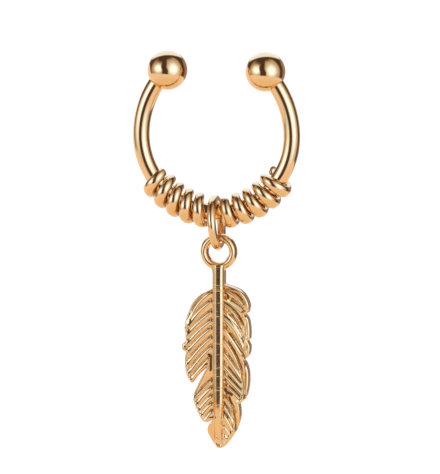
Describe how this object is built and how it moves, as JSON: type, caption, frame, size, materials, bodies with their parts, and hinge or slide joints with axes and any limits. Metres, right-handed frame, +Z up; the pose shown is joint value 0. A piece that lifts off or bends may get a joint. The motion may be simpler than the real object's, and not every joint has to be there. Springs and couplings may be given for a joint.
{
  "type": "ear cuff",
  "caption": "Open horseshoe ear cuff of round wire with ball ends and wound wire coils; a cast feather hangs from a jump ring.",
  "frame": {"origin": "midway between the centres of the two balls, where the cuff grips the edge of the ear", "axes": "+Z up, away from the feather; +X to the right and +Y away from a viewer who faces the front of the feather"},
  "size_m": [0.0128, 0.0042, 0.0299],
  "materials": {
    "polished_gold_plate": "polished gold plate",
    "cast_gold_plate": "gold plate on a cast surface"
  },
  "bodies": {
    "cuff": {"cuff_ring": "polished_gold_plate", "coil_left": "polished_gold_plate", "coil_right": "polished_gold_plate"},
    "jump_ring": {"jump_ring": "polished_gold_plate"},
    "pendant": {"feather_pendant": "cast_gold_plate"}
  },
  "joints": [
    {"name": "ring_swing", "type": "hinge", "parent": "cuff", "child": "jump_ring", "pos_m": [0, 0, -0.01066], "axis": [1, 0, 0], "range_deg": [-90, 90]},
    {"name": "pendant_swing", "type": "hinge", "parent": "jump_ring", "child": "pendant", "pos_m": [0.00016, 0, -0.01324], "axis": [0, 1, 0], "range_deg": [-75, 75]}
  ]
}
